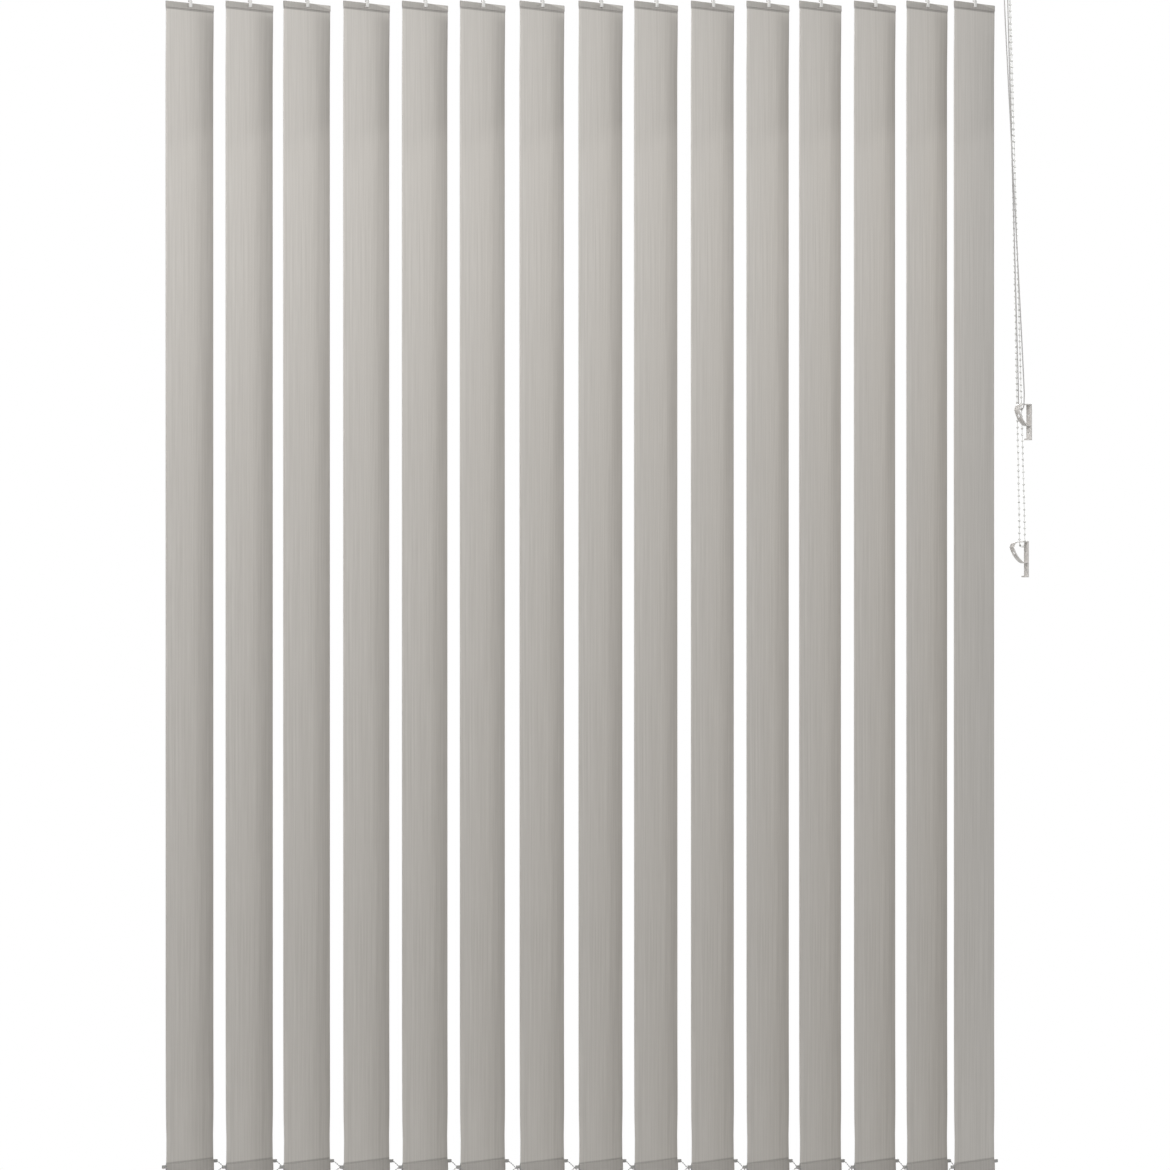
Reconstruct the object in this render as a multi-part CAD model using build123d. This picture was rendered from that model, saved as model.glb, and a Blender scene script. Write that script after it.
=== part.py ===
from build123d import *
import math
import os

# Vertical blind with fabric vanes, drawn open, in millimetres.
# X runs along the headrail, Y away from the room and Z up. The origin is on the
# ceiling, where the middle bracket's plate meets it.

# Vanes, from the lead end on the left to the control end on the right
vane_width = 127.0
vane_length = 2280.0
vane_top = -53.0
fabric_thickness = 0.45
vane_turn = 48.3
vane_pitches = [115.0, 110.5, 115.0, 112.5, 111.0, 114.5, 113.0,
                106.5, 109.0, 106.5, 101.0, 105.0, 100.5, 91.0]
last_vane_x = 750.0
stack_ratio = 0.30

# Pockets of the vane, and what is sewn into them
pocket_ease = 0.1
weld_height = 4.0
hanger_width = 116.0
hanger_height = 10.6
hanger_thickness = 1.1
hanger_corner = 11.0
bottom_pocket_height = 48.0
weight_width = 119.0
weight_height = 42.0
weight_thickness = 1.8
clip_length = 7.0
clip_height = 6.0
clip_thickness = 4.0
clip_reach = 9.0
clip_drop = 0.6
clip_arm_height = 5.0
hanger_edge = 2.5
hanger_slot_ease = 0.3
fabric_slot_ease = 0.6

# Hook under each stem, which reaches over the vane's top and in through its face
hook_width = 7.0
hook_thickness = 2.0
hook_gap = 0.3
hook_root = 1.5
hook_saddle_rise = 1.5
hook_shoulder_rise = 4.0
hook_neck_rise = 7.0
lip_drop = 5.2
lip_height = 2.2

# Stabiliser chain between the vanes' bottom clips
chain_span_length = 128.0
chain_span_width = 2.0
chain_span_height = 2.5
chain_end_gap = 0.3
sag_correction = 0.38

# Headrail, an extrusion that is open along its underside
rail_width = 44.0
rail_height = 28.0
rail_wall = 1.4
rail_slot = 16.0
rail_corner = 1.5
rail_lead_room = 44.0
rail_control_room = 41.0
ledge_reach = 4.1
ledge_thickness = 1.2
runner_height = 4.2
groove_depth = 0.6
groove_height = 1.8
groove_drop = 4.0

# Ceiling brackets, which hook into the rail's side grooves
bracket_thickness = 1.5
bracket_length = 30.0
bracket_hole = 4.5
bracket_hole_offset = 8.0
bracket_jaw_ease = 0.15
screw_head_room = 3.0
bracket_places = [-640.0, 0.0, 640.0]

# Carrier trucks
truck_length = 25.0
truck_top_drop = 7.5
shoe_ease = 0.2
body_ease = 0.6
neck_ease = 0.6
neck_drop = 2.5
trough_wall = 2.0
trough_ease = 1.0
divider_thickness = 1.2
gear_teeth = 10
gear_radius = 5.3
gear_tooth_depth = 1.3
gear_height = 9.0
gear_ease = 0.4
gear_cover = 2.0
stem_radius = 2.5
stem_ease = 0.05
stem_sides = 8
worm_radius = 3.9
worm_length = 17.0
worm_ease = 0.4
worm_sides = 6
mesh_gap = 0.3

# Spacer strips, which pull the trucks out to their pitch
spacer_length = 127.0
spacer_width = 6.0
spacer_thickness = 0.5
spacer_level_gap = 0.4
spacer_post_width = 2.4
spacer_post_length = 5.0
spacer_post_gap = 1.4
spacer_inset = 0.5

# Cord clamp of the lead truck
clamp_length = 8.0
clamp_cap = 3.0
clamp_ease = 0.1
clamp_side_gap = 0.5

# Tilt rod and its chain wheel
rod_flats = 5.0
rod_ease = 0.15
rod_fit = 0.05
rod_end_gap = 0.3
rod_drop = 15.0
bead_pitch = 12.0
bead_diameter = 4.5
wheel_pockets = 5
wheel_width = 8.0
wheel_rim = 1.8
wheel_notch_width = 2.4
wheel_notch_depth = 0.8
wheel_groove_ease = 0.3
wheel_hub_radius = 3.8
wheel_hub_length = 3.0
hub_ease = 0.1

# Traverse cord and its pulleys
cord_diameter = 2.2
cord_inner_y = -10.2
cord_spacing = 7.2
cord_drop = 11.5
pulley_turn = 5.5
pulley_rim = 1.6
pulley_width = 4.6
pulley_stagger = 7.0
axle_radius = 1.5
axle_ease = 0.05
axle_overhang = 0.8
sheave_ease = 0.05
sheave_root = 2.0

# End pieces
end_wall = 2.0
control_length = 37.0
control_width = 50.0
control_height = 34.0
return_length = 15.0
return_width = 47.0
return_height = 30.5
tongue_length = 15.0
tongue_ease = 0.1
end_corner = 4.0
pulley_room = 0.8
wheel_inset = 28.5
end_seat = 0.5
web_gap = 0.5
web_to_wheel = 1.5
bearing_gap = 0.3
bearing_wall = 2.0
bearing_length = 3.0
cord_window_ease = 1.4
cord_fall_ease = 1.0
chain_slot_ease = 0.8
return_room = 1.0
return_inside_ease = 1.0
tongue_inset = 1.0

# Cord and chain clips, which screw to the side of the window
clip_total = 70.0
clip_band = 12.0
clip_leg = 3.0
clip_wall = 2.2
loop_reach = 34.0
loop_height = 43.0
loop_shoulder = 14.0
loop_base_reach = 10.0
loop_radius = 9.0
foot_reach = 6.0
foot_thickness = 3.0
clip_screw_hole = 4.4
clip_screw_inset = 13.0
clip_driver_hole = 6.0
cord_clip_place = (856.4, -1.0, -825.0)
cord_clip_turn = 43.0
cord_clip_share = 24.0
chain_clip_place = (852.6, 14.4, -1089.0)
chain_clip_turn = 32.0
chain_clip_share = 12.0
clip_hang_gap = 0.4
upright_run = 40.0
loop_join_gap = 0.2
tube_sides = 6

# Levels and places that follow from the sizes above
vane_count = len(vane_pitches) + 1
first_vane_x = last_vane_x - sum(vane_pitches)
vane_x = [first_vane_x + sum(vane_pitches[:i]) for i in range(vane_count)]
rail_left = first_vane_x - rail_lead_room
rail_right = last_vane_x + rail_control_room
rail_top = -bracket_thickness - screw_head_room
rail_ceiling = rail_top - rail_wall
rail_bottom = rail_top - rail_height
rail_floor = rail_bottom + rail_wall
rail_inside = rail_width / 2 - rail_wall
ledge_under = rail_floor + runner_height
ledge_edge = rail_inside - ledge_reach
truck_top = rail_top - truck_top_drop
gear_bottom = truck_top - gear_cover - gear_height
rod_z = rail_top - rod_drop
rod_y = gear_radius + worm_radius + mesh_gap
rod_corner = rod_flats / math.sqrt(3)
rod_start = rail_left - return_length / 2
worm_bore = rod_corner + rod_ease
cord_z = rail_top - cord_drop
cord_outer_y = cord_inner_y - cord_spacing
cord_middle_y = (cord_inner_y + cord_outer_y) / 2
return_turn = cord_spacing / 2
front_pulley_x = rail_right + end_wall + pulley_room + pulley_turn + pulley_rim
back_pulley_x = front_pulley_x + pulley_stagger
pulley_z = cord_z - pulley_turn
wheel_x = rail_right + wheel_inset
wheel_turn = bead_pitch / (2 * math.sin(math.pi / wheel_pockets))
wheel_radius = wheel_turn + wheel_rim
top_pocket_half = hanger_thickness / 2 + pocket_ease + fabric_thickness
bottom_pocket_half = weight_thickness / 2 + pocket_ease + fabric_thickness
vane_bottom = vane_top - vane_length
bottom_pocket_top = vane_bottom + bottom_pocket_height
hanger_top = vane_top - fabric_thickness - pocket_ease
hanger_bottom = hanger_top - hanger_height
top_pocket_bottom = hanger_bottom - pocket_ease
weight_top = bottom_pocket_top - clip_drop
lip_top = hanger_top - lip_drop
lip_bottom = lip_top - lip_height
stem_bottom = rail_bottom - neck_drop - hook_gap
clip_u = vane_width / 2 + clip_reach - clip_length / 2
clip_z = weight_top - clip_height / 2

os.makedirs("parts", exist_ok=True)


def save(name, *solids):
    """Writes the solids of one sub-part to its own file."""
    solid_list = [piece for solid in solids for piece in solid.solids()]
    shape = solid_list[0] if len(solid_list) == 1 else Compound(children=solid_list)
    shape.label = name
    export_step(shape, f"parts/{name}.step")


def block(x_range, y_range, z_range):
    """A box between two places on each axis."""
    sizes = [high - low for low, high in (x_range, y_range, z_range)]
    middle = [(high + low) / 2 for low, high in (x_range, y_range, z_range)]
    return Pos(*middle) * Box(*sizes)


def bar(radius, start, end):
    """A round bar from one point to another."""
    run = Vector(*end) - Vector(*start)
    frame = Plane(origin=start, z_dir=run)
    return frame * Cylinder(radius, run.length, align=(Align.CENTER, Align.CENTER, Align.MIN))


def along_x(outline, x_start, x_end):
    """A solid with one (Y, Z) outline, from x_start to x_end."""
    face = make_face(Polyline(*outline, close=True))
    return extrude(Plane.YZ.offset(x_start) * face, x_end - x_start)


def across_y(face, width):
    """A solid with one (X, Z) face, centred on Y = 0."""
    return extrude(Plane.XZ * face, width / 2, both=True)


def hung(piece, x):
    """Puts a piece modelled on a vane's own axis at its place, turned as the vanes hang."""
    return Pos(x, 0, 0) * Rot(0, 0, vane_turn) * piece


def both_sides(half_outline):
    """A closed outline from the right-hand half of a symmetrical section."""
    return half_outline + [(-y, z) for y, z in reversed(half_outline)]


# Headrail
def headrail():
    """The rail: a box section with a slot below, two ledges inside and two side grooves."""
    groove_top = rail_top - groove_drop
    groove_bottom = groove_top - groove_height
    inner = rail_inside - groove_depth
    half = [
        (rail_slot / 2, rail_floor),
        (rail_slot / 2, rail_bottom),
        (rail_width / 2, rail_bottom),
        (rail_width / 2, groove_bottom),
        (rail_width / 2 - groove_depth, groove_bottom),
        (rail_width / 2 - groove_depth, groove_top),
        (rail_width / 2, groove_top),
        (rail_width / 2, rail_top),
    ]
    inside = [
        (inner, rail_ceiling),
        (inner, groove_bottom - rail_wall),
        (rail_inside, groove_bottom - rail_wall),
        (rail_inside, ledge_under + ledge_thickness),
        (ledge_edge, ledge_under + ledge_thickness),
        (ledge_edge, ledge_under),
        (rail_inside, ledge_under),
        (rail_inside, rail_floor),
    ]
    outline = both_sides(half) + [(-y, z) for y, z in reversed(inside)] + inside
    face = make_face(Polyline(*outline, close=True))
    corners = [
        vertex
        for vertex in face.vertices()
        if abs(abs(vertex.X) - rail_width / 2) < 0.001
        and min(abs(vertex.Y - rail_top), abs(vertex.Y - rail_bottom)) < 0.001
    ]
    face = fillet(corners, rail_corner)
    return extrude(Plane.YZ.offset(rail_left) * face, rail_right - rail_left)


def ceiling_bracket(x):
    """A spring steel clip: a plate on the ceiling with two jaws that hook into the grooves."""
    inside = rail_width / 2 + bracket_jaw_ease
    outside = inside + bracket_thickness
    hook = rail_width / 2 - groove_depth + bracket_jaw_ease
    hook_top = rail_top - groove_drop - bracket_jaw_ease
    jaw_bottom = rail_top - groove_drop - groove_height + bracket_jaw_ease
    half = [
        (inside, -bracket_thickness),
        (inside, hook_top),
        (hook, hook_top),
        (hook, jaw_bottom),
        (inside, jaw_bottom),
        (outside, jaw_bottom - bracket_thickness),
        (outside, 0),
    ]
    plate = along_x(both_sides(half), x - bracket_length / 2, x + bracket_length / 2)
    hole_x = x + bracket_hole_offset
    return plate - bar(bracket_hole / 2, (hole_x, 0, 1), (hole_x, 0, -bracket_thickness - 1))


# Carrier trucks
def truck_body():
    """The moulded truck: glide shoes, a neck through the slot, a cord trough and the gear housing."""
    body_half = ledge_edge - body_ease
    shoe_half = rail_inside - shoe_ease
    shoe_top = ledge_under - shoe_ease
    shoe_bottom = rail_floor + shoe_ease
    neck_half = rail_slot / 2 - neck_ease
    trough_edge = cord_inner_y + cord_diameter / 2 + trough_wall
    trough_floor = cord_z - cord_diameter / 2 - trough_ease
    divider_half = divider_thickness / 2
    divider_top = cord_z + cord_diameter / 2
    outline = [
        (neck_half, rail_bottom - neck_drop),
        (neck_half, shoe_bottom),
        (shoe_half, shoe_bottom),
        (shoe_half, shoe_top),
        (body_half, shoe_top),
        (body_half, truck_top),
        (trough_edge, truck_top),
        (trough_edge, trough_floor),
        (cord_middle_y + divider_half, trough_floor),
        (cord_middle_y + divider_half, divider_top),
        (cord_middle_y - divider_half, divider_top),
        (cord_middle_y - divider_half, trough_floor),
        (-body_half, trough_floor),
        (-body_half, shoe_top),
        (-shoe_half, shoe_top),
        (-shoe_half, shoe_bottom),
        (-neck_half, shoe_bottom),
        (-neck_half, rail_bottom - neck_drop),
    ]
    body = along_x(outline, -truck_length / 2, truck_length / 2)
    gear_floor = gear_bottom - gear_ease
    gear_half = gear_radius + gear_ease
    body -= block((-gear_half, gear_half), (-gear_half, gear_half), (gear_floor, truck_top + 1))
    bore = RegularPolygon(stem_radius + stem_ease, stem_sides, major_radius=False)
    body -= extrude(Pos(0, 0, rail_bottom - neck_drop - 1) * bore, gear_floor - rail_bottom + neck_drop + 2)
    half_cavity = worm_radius + worm_ease
    body -= block(
        (-worm_length / 2 - worm_ease, worm_length / 2 + worm_ease),
        (rod_y - half_cavity, rod_y + half_cavity),
        (rod_z - half_cavity, truck_top + 1),
    )
    half_notch = rod_corner + worm_ease
    body -= block((-truck_length, truck_length), (rod_y - half_notch, rod_y + half_notch),
                  (rod_z - half_notch, truck_top + 1))
    return body + spacer_post()


def spacer_post():
    """The post on the truck's top that holds the ear of the spacer strip."""
    y_high = -spacer_width / 2 - spacer_post_gap
    x_high = truck_length / 2 - spacer_inset
    return block(
        (x_high - spacer_post_length, x_high),
        (y_high - spacer_post_width, y_high),
        (truck_top - spacer_inset, truck_top + spacer_level_gap + spacer_levels() * spacer_step()),
    )


def spacer_levels():
    """How many strips lie over one another when the blind is stacked."""
    return math.ceil(spacer_length / (stack_ratio * min(vane_pitches)))


def spacer_step():
    """From one strip's level to the next."""
    return spacer_thickness + spacer_level_gap


def spacer_strip(index):
    """The strip that runs from a truck over the one on its lead side."""
    low = truck_top + spacer_level_gap + index % spacer_levels() * spacer_step()
    levels = (low, low + spacer_thickness)
    x_high = truck_length / 2 - spacer_inset
    x_low = x_high - spacer_length
    strip = block((x_low, x_high), (-spacer_width / 2, spacer_width / 2), levels)
    ear_y = -spacer_width / 2 - spacer_post_gap
    strip += block((x_high - spacer_post_length, x_high), (ear_y, 0), levels)
    return strip


def worm():
    """The worm that the tilt rod turns, as a sleeve of few sides without its thread."""
    frame = Plane(origin=(-worm_length / 2, rod_y, rod_z), x_dir=(0, 1, 0), z_dir=(1, 0, 0))
    ring = RegularPolygon(worm_radius, worm_sides)
    ring -= RegularPolygon(worm_bore, worm_sides, major_radius=False)
    return extrude(frame * ring, worm_length)


def cord_clamp():
    """The clamp on the lead truck that grips the outer run of the cord."""
    half = clamp_length / 2
    y_range = (clamp_side_gap - rail_inside, cord_middle_y - divider_thickness / 2)
    base = cord_z - cord_diameter / 2 - trough_ease
    clamp = block((-half, half), y_range, (base, cord_z + clamp_cap))
    grip = cord_diameter / 2 + clamp_ease
    return clamp - block((-half - 1, half + 1), (cord_outer_y - grip, cord_outer_y + grip),
                         (cord_z - grip, cord_z + grip))


# Vane and its fittings, modelled on the vane's own axis with the room side at -Y
def vane_fabric():
    """The fabric vane: one length folded and welded into a pocket at each end."""
    half = fabric_thickness / 2
    outline = both_sides([
        (bottom_pocket_half, vane_bottom),
        (bottom_pocket_half, bottom_pocket_top),
        (half, bottom_pocket_top + weld_height),
        (half, top_pocket_bottom - weld_height),
        (top_pocket_half, top_pocket_bottom),
        (top_pocket_half, vane_top),
    ])
    fabric = along_x(outline, -vane_width / 2, vane_width / 2)
    over = vane_width
    upper = top_pocket_half - fabric_thickness
    fabric -= block((-over, over), (-upper, upper), (top_pocket_bottom, vane_top - fabric_thickness))
    lower = bottom_pocket_half - fabric_thickness
    fabric -= block((-over, over), (-lower, lower), (vane_bottom + fabric_thickness, bottom_pocket_top))
    return fabric - hook_slot(fabric_slot_ease)


def hook_slot(ease):
    """The slot for the hook's lip, through the front of the pocket and the hanger."""
    half = hook_width / 2 + ease
    return block(
        (-half, half),
        (-top_pocket_half - 1, hanger_thickness / 2 + pocket_ease / 2),
        (lip_bottom - ease, lip_top + ease),
    )


def stem_and_hook():
    """The rotating stem: its gear, its round shank and the hook that carries the hanger."""
    root = gear_radius - gear_tooth_depth
    teeth = []
    for tooth in range(gear_teeth):
        centre = tooth * 2 * math.pi / gear_teeth
        for radius, share in ((gear_radius, 0), (root, 0.5)):
            angle = centre + share * 2 * math.pi / gear_teeth
            teeth.append((radius * math.cos(angle), radius * math.sin(angle)))
    gear = extrude(Pos(0, 0, gear_bottom) * make_face(Polyline(*teeth, close=True)), gear_height)
    section = Pos(0, 0, stem_bottom) * RegularPolygon(stem_radius, stem_sides)
    shank = extrude(section, gear_bottom - stem_bottom)
    front = -top_pocket_half - hook_gap
    saddle = vane_top + hook_saddle_rise
    outline = [
        (-hook_root, stem_bottom),
        (hook_root, stem_bottom),
        (hook_root, saddle),
        (front, saddle),
        (front, lip_top),
        (hanger_thickness / 2, lip_top),
        (hanger_thickness / 2, lip_bottom),
        (front - hook_thickness, lip_bottom),
        (front - hook_thickness, vane_top + hook_shoulder_rise),
        (-hook_root, vane_top + hook_neck_rise),
    ]
    return gear + shank + along_x(outline, -hook_width / 2, hook_width / 2)


def hanger():
    """The plastic hanger in the top pocket, with cut corners and a hole for the hook's lip."""
    half = hanger_width / 2
    outline = [
        (-half, hanger_bottom),
        (half, hanger_bottom),
        (half, hanger_bottom + hanger_edge),
        (half - hanger_corner, hanger_top),
        (hanger_corner - half, hanger_top),
        (-half, hanger_bottom + hanger_edge),
    ]
    plate = across_y(make_face(Polyline(*outline, close=True)), hanger_thickness)
    return plate - hook_slot(hanger_slot_ease)


def bottom_weight():
    """The weight in the bottom pocket, with an arm and a chain clip at each upper corner."""
    half = weight_width / 2
    arm_low = weight_top - clip_arm_height
    outline = [
        (-clip_u, weight_top),
        (clip_u, weight_top),
        (clip_u, arm_low),
        (half, arm_low),
        (half, weight_top - weight_height),
        (-half, weight_top - weight_height),
        (-half, arm_low),
        (-clip_u, arm_low),
    ]
    weight = across_y(make_face(Polyline(*outline, close=True)), weight_thickness)
    for side in (-1, 1):
        middle = side * clip_u
        weight += block(
            (middle - clip_length / 2, middle + clip_length / 2),
            (-clip_thickness / 2, clip_thickness / 2),
            (weight_top - clip_height, weight_top),
        )
    return weight


# Stabiliser chains
def span_sag(gap):
    """How far a span of chain hangs in the gap between two clips, nearly a parabola of its length."""
    slack = chain_span_length / gap - 1
    return gap * math.sqrt(3 / 8 * slack) * (1 + sag_correction * slack)


def chain_spans(side):
    """One solid from each vane's clip to the next, hanging in the curve of a slack chain."""
    turn = math.radians(vane_turn)
    offset_x = side * clip_u * math.cos(turn)
    offset_y = side * clip_u * math.sin(turn)
    reach = clip_length / 2 * math.cos(turn) + clip_thickness / 2 * math.sin(turn) + chain_end_gap
    spans = []
    for index, pitch in enumerate(vane_pitches):
        start = vane_x[index] + offset_x + reach
        length = pitch - 2 * reach
        sag = span_sag(length)
        line = []
        for share in (0, 0.3, 0.7, 1):
            line.append((start + share * length, clip_z - 4 * sag * share * (1 - share)))
        half = chain_span_height / 2
        outline = [(x, z + half) for x, z in line] + [(x, z - half) for x, z in reversed(line)]
        span = across_y(make_face(Polyline(*outline, close=True)), chain_span_width)
        spans.append(Pos(0, offset_y, 0) * span)
    return spans


# Tilt rod and chain wheel
def tilt_rod():
    """The six-sided rod through every truck, from the return end to the chain wheel."""
    end = wheel_x + wheel_width / 2
    face = RegularPolygon(rod_corner, 6)
    frame = Plane(origin=(rod_start, rod_y, rod_z), x_dir=(0, 1, 0), z_dir=(1, 0, 0))
    return extrude(frame * face, end - rod_start)


def chain_wheel():
    """The wheel that the bead chain turns: a grooved rim with notches, on a hub with a stub."""
    half = wheel_width / 2
    groove = bead_diameter / 2 + wheel_groove_ease
    frame = Plane(origin=(wheel_x, rod_y, rod_z), x_dir=(0, 1, 0), z_dir=(1, 0, 0))
    wheel = Cylinder(wheel_radius, wheel_width)
    wheel -= Cylinder(wheel_radius + 1, 2 * groove) - Cylinder(wheel_turn - groove, 2 * groove)
    notch = Box(2 * wheel_notch_depth, wheel_notch_width, 2 * wheel_width)
    for pocket in range(wheel_pockets):
        wheel -= Rot(0, 0, 360 * pocket / wheel_pockets) * Pos(wheel_radius, 0, 0) * notch
    wheel += Pos(0, 0, half) * Cylinder(wheel_hub_radius, wheel_hub_length,
                                        align=(Align.CENTER, Align.CENTER, Align.MIN))
    wheel -= extrude(Pos(0, 0, -half) * RegularPolygon(rod_corner + rod_fit, 6), wheel_width)
    return frame * wheel


# Pulleys
def pulley(turn_radius):
    """A sheave about Z whose groove leads the cord's centre line at turn_radius."""
    rim = turn_radius + pulley_rim
    root = turn_radius - cord_diameter / 2 - sheave_ease
    half = pulley_width / 2
    groove_half = sheave_root / 2
    outline = [
        (axle_radius + axle_ease, -half),
        (rim, -half),
        (root, -groove_half),
        (root, groove_half),
        (rim, half),
        (axle_radius + axle_ease, half),
    ]
    return revolve(Plane.XZ * make_face(Polyline(*outline, close=True)), Axis.Z)


def control_pulley(x, y):
    """One of the two sheaves that turn the cord down, about an axle along Y."""
    frame = Plane(origin=(x, y, pulley_z), x_dir=(1, 0, 0), z_dir=(0, 1, 0))
    return frame * pulley(pulley_turn)


def return_pulley():
    """The sheave that sends the cord back at the lead end, about an upright axle."""
    return Pos(return_pulley_x(), cord_middle_y, cord_z) * pulley(return_turn)


def return_pulley_x():
    """The middle of the return sheave, clear of the cap's end wall."""
    return rail_left - return_length + end_wall + return_turn + pulley_rim + return_room


# End pieces
def end_tongues(x_start, x_end):
    """Two tongues that slide into the rail's runner channels."""
    z_range = (rail_floor + tongue_ease, ledge_under - tongue_ease)
    near = rail_slot / 2 + tongue_inset
    far = rail_inside - tongue_ease
    return block((x_start, x_end), (near, far), z_range) + block((x_start, x_end), (-far, -near), z_range)


def control_housing():
    """The moulded end at the control side, with the sheaves' axle and the wheel's bearing."""
    left = rail_right
    right = rail_right + control_length
    half = control_width / 2
    bottom = rail_top - control_height
    shell = block((left, right), (-half, half), (bottom, rail_top))
    shell = fillet(shell.edges().filter_by(Axis.Z).group_by(Axis.X)[-1], end_corner)
    inner = half - end_wall
    rib = cord_inner_y + pulley_width / 2 + web_gap
    cavity = block((left + end_wall, right - end_wall), (-inner, inner), (bottom + end_wall, rail_top - end_wall))
    wheel_start = wheel_x - wheel_width / 2 - web_to_wheel
    web = block((left + end_wall, wheel_start), (rib, rib + end_wall), (bottom + end_wall, rail_top - end_wall))
    shell -= cavity - web
    window = cord_diameter / 2 + cord_window_ease
    shell -= block((left - 1, left + end_wall + 1), (cord_outer_y - window, cord_inner_y + window),
                   (cord_z - window, cord_z + window))
    shell -= bar(worm_bore + rod_ease, (left - 1, rod_y, rod_z), (left + end_wall + 1, rod_y, rod_z))
    fall = cord_diameter / 2 + cord_fall_ease
    for x, y in ((front_pulley_x, cord_outer_y), (back_pulley_x, cord_inner_y)):
        fall_x = x + pulley_turn
        shell -= block((fall_x - fall, fall_x + fall), (y - fall, y + fall), (bottom - 1, bottom + end_wall + 1))
    slot = bead_diameter / 2 + chain_slot_ease
    shell -= block((wheel_x - slot, wheel_x + slot), (rod_y - wheel_turn - slot, rod_y + wheel_turn + slot),
                   (bottom - 1, bottom + end_wall + 1))
    boss_x = wheel_x + wheel_width / 2 + bearing_gap
    hub_end = wheel_x + wheel_width / 2 + wheel_hub_length + bearing_gap
    shell += bar(wheel_hub_radius + bearing_wall, (boss_x, rod_y, rod_z), (right - end_seat, rod_y, rod_z))
    shell -= bar(wheel_hub_radius + hub_ease, (boss_x - 1, rod_y, rod_z), (hub_end, rod_y, rod_z))
    front_end = cord_outer_y + pulley_width / 2 + axle_overhang
    back_end = cord_inner_y - pulley_width / 2 - axle_overhang
    shell += bar(axle_radius, (front_pulley_x, -inner - end_seat, pulley_z), (front_pulley_x, front_end, pulley_z))
    shell += bar(axle_radius, (back_pulley_x, back_end, pulley_z), (back_pulley_x, rib + end_seat, pulley_z))
    return shell + end_tongues(left - tongue_length, left + end_seat)


def return_end_cap():
    """The moulded cap at the lead end, with the return sheave's axle and the rod's bearing."""
    left = rail_left - return_length
    right = rail_left
    half = return_width / 2
    bottom = rail_top - return_height
    top = rail_top
    shell = block((left, right), (-half, half), (bottom, top))
    shell = fillet(shell.edges().filter_by(Axis.Z).group_by(Axis.X)[0], end_corner)
    inner = rail_inside - return_inside_ease
    shell -= block((left + end_wall, right + 1), (-inner, inner), (bottom + end_wall, top - end_wall))
    bearing_start = left + end_seat
    bearing_end = rod_start + bearing_length
    shell += bar(rod_corner + bearing_wall, (bearing_start, rod_y, rod_z), (bearing_end, rod_y, rod_z))
    shell -= bar(rod_corner + rod_fit, (rod_start - rod_end_gap, rod_y, rod_z), (bearing_end + 1, rod_y, rod_z))
    x = return_pulley_x()
    shell += bar(axle_radius, (x, cord_middle_y, bottom + end_seat), (x, cord_middle_y, top - end_seat))
    return shell + end_tongues(right - end_seat, right + tongue_length)


# Cord and chain clips
def safety_clip(place, turn):
    """A moulded clip shaped like a P: a leg for two screws, a loop for the cord and a foot."""
    leg = -clip_leg
    seat = leg + clip_wall
    corners = [
        (seat, 0),
        (leg - loop_reach, 0),
        (leg - loop_reach, -loop_shoulder),
        (leg - loop_base_reach, -loop_height),
        (seat, -loop_height),
    ]
    loop = make_face(Polyline(*corners, close=True))
    loop = fillet([corner for corner in loop.vertices() if corner.X < leg], loop_radius)
    inside = offset(loop, -clip_wall)
    leg_face = Pos(leg / 2, -clip_total / 2) * Rectangle(clip_leg, clip_total)
    foot = Pos((leg - foot_reach) / 2, foot_thickness / 2 - clip_total)
    face = (loop + leg_face + foot * Rectangle(foot_reach - leg, foot_thickness)) - inside
    clip = across_y(face, clip_band)
    for drop in (loop_height / 2, clip_total - clip_screw_inset):
        clip -= bar(clip_screw_hole / 2, (1, 0, -drop), (-clip_leg - 1, 0, -drop))
    driver = -loop_height / 2
    clip -= bar(clip_driver_hole / 2, (leg - loop_reach - 1, 0, driver), (leg - loop_reach / 2, 0, driver))
    return Pos(*place) * Rot(0, 0, turn) * clip


def clip_point(place, turn, share, across, drop):
    """A point in the clip's own frame: share in from the wall, across its band, below its top."""
    angle = math.radians(turn)
    return (
        place[0] - share * math.cos(angle) - across * math.sin(angle),
        place[1] - share * math.sin(angle) + across * math.cos(angle),
        place[2] - drop,
    )


# Cords
def along_edge(face, edge):
    """The solid that a section makes along one straight edge or one arc."""
    if edge.geom_type == GeomType.LINE:
        return extrude(face, edge.length, dir=edge % 0)
    spoke = edge @ 0 - edge.arc_center
    axis = Axis(edge.arc_center, spoke.cross(edge % 0))
    return revolve(face, axis, math.degrees(edge.length / spoke.length))


def tube(edges, diameter):
    """A plain six-sided tube along tangent edges, printed with its length and volume."""
    face = Plane(origin=edges[0] @ 0, z_dir=edges[0] % 0) * RegularPolygon(diameter / 2, tube_sides)
    section = face.area
    pieces = []
    for edge in edges:
        piece = along_edge(face, edge)
        face = piece.faces().sort_by_distance(edge @ 1)[0]
        pieces.append(piece.solid())
    solid = pieces[0].fuse(*pieces[1:])
    length = sum(edge.length for edge in edges)
    share = solid.volume / (section * length)
    print(f"tube {diameter} x {length:.0f} long, volume {share:.4f} of section x length")
    return solid


def turn_radii(points):
    """The arc at each inner corner: 0.45 of its shorter run over the tangent of half the turn."""
    radii = []
    for before, corner, after in zip(points, points[1:], points[2:]):
        first = Vector(*corner) - Vector(*before)
        second = Vector(*after) - Vector(*corner)
        half_turn = math.radians(first.get_angle(second)) / 2
        radii.append(0.45 * min(first.length, second.length) / math.tan(half_turn))
    print("  route radii", [round(radius) for radius in radii])
    return radii


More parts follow.
